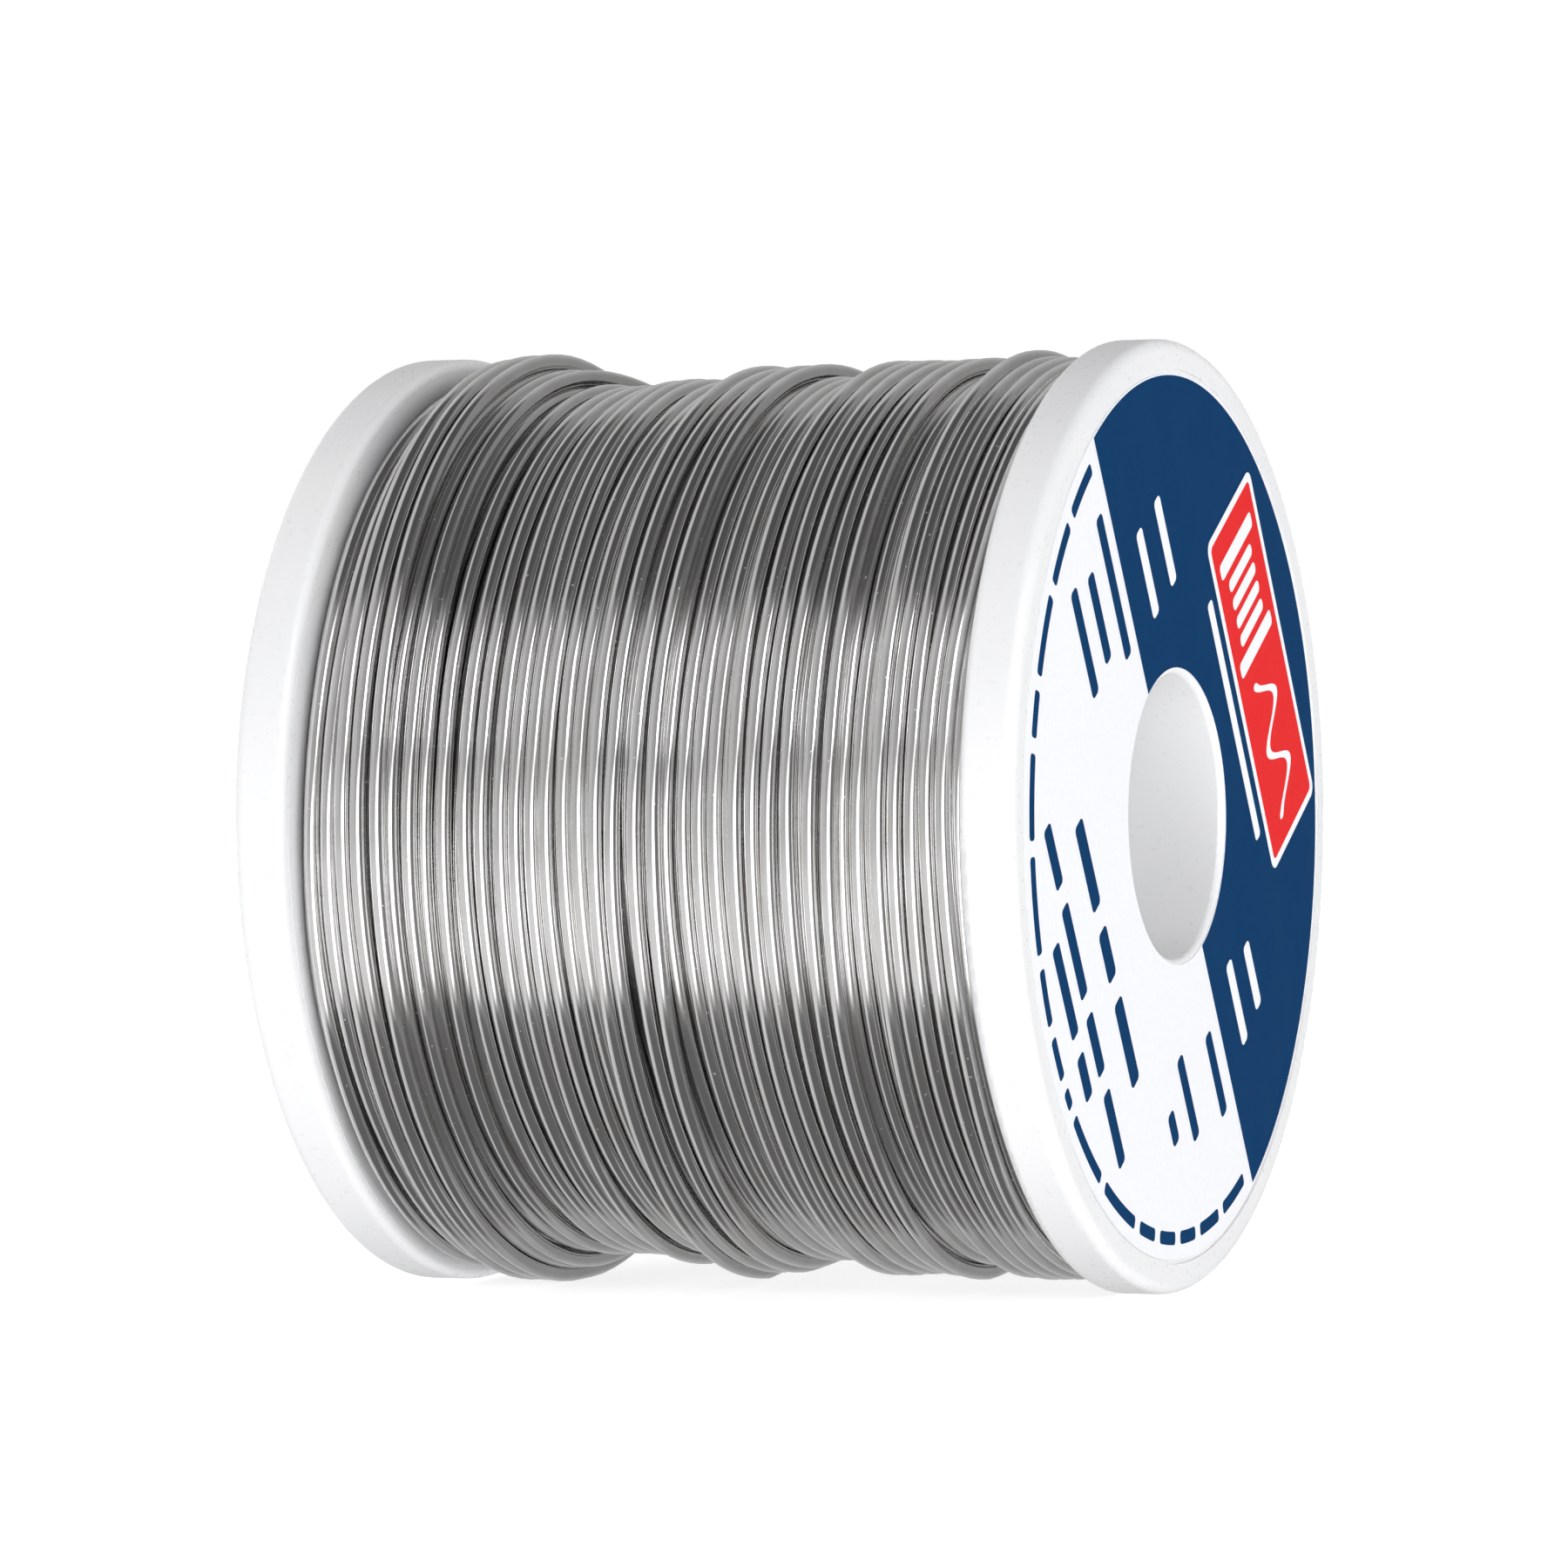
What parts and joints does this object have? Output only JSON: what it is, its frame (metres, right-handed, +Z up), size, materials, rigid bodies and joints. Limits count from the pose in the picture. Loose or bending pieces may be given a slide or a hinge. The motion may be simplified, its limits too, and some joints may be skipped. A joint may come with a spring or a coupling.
{
  "type": "solder wire spool",
  "caption": "White plastic reel full of flux-cored solder wire: two rounded flanges, a smooth through bore for a spindle, and a round printed label on one side.",
  "frame": {"origin": "on the axis of the spindle bore, midway between the two outer flange faces", "axes": "+X along the bore, out of the labelled flange; +Z up, square to the bore, as the reel lies on its rims; +Y away from the side that is seen first"},
  "size_m": [0.06, 0.07, 0.07],
  "materials": {
    "reel_plastic": "smooth, semi-gloss moulded white",
    "drum_plastic": "plain moulded white",
    "label_print": "coated print, one part navy and one part white",
    "solder_alloy": "bright drawn tin-lead alloy",
    "flux_resin": "clear amber rosin"
  },
  "bodies": {
    "root": {"rear_flange": "reel_plastic", "front_flange": "reel_plastic", "winding_drum": "drum_plastic", "hub_tube": "reel_plastic", "front_label": "label_print", "wire_start_tail": "solder_alloy", "wire_layer_1": "solder_alloy", "wire_layer_2": "solder_alloy", "wire_layer_3": "solder_alloy", "wire_layer_4": "solder_alloy", "wire_layer_5": "solder_alloy", "wire_layer_6": "solder_alloy", "wire_layer_7": "solder_alloy", "wire_top_turns_1": "solder_alloy", "wire_top_turns_2": "solder_alloy", "wire_top_turns_3": "solder_alloy", "wire_top_turns_4": "solder_alloy", "wire_free_end": "solder_alloy", "flux_core": "flux_resin"}
  },
  "joints": []
}
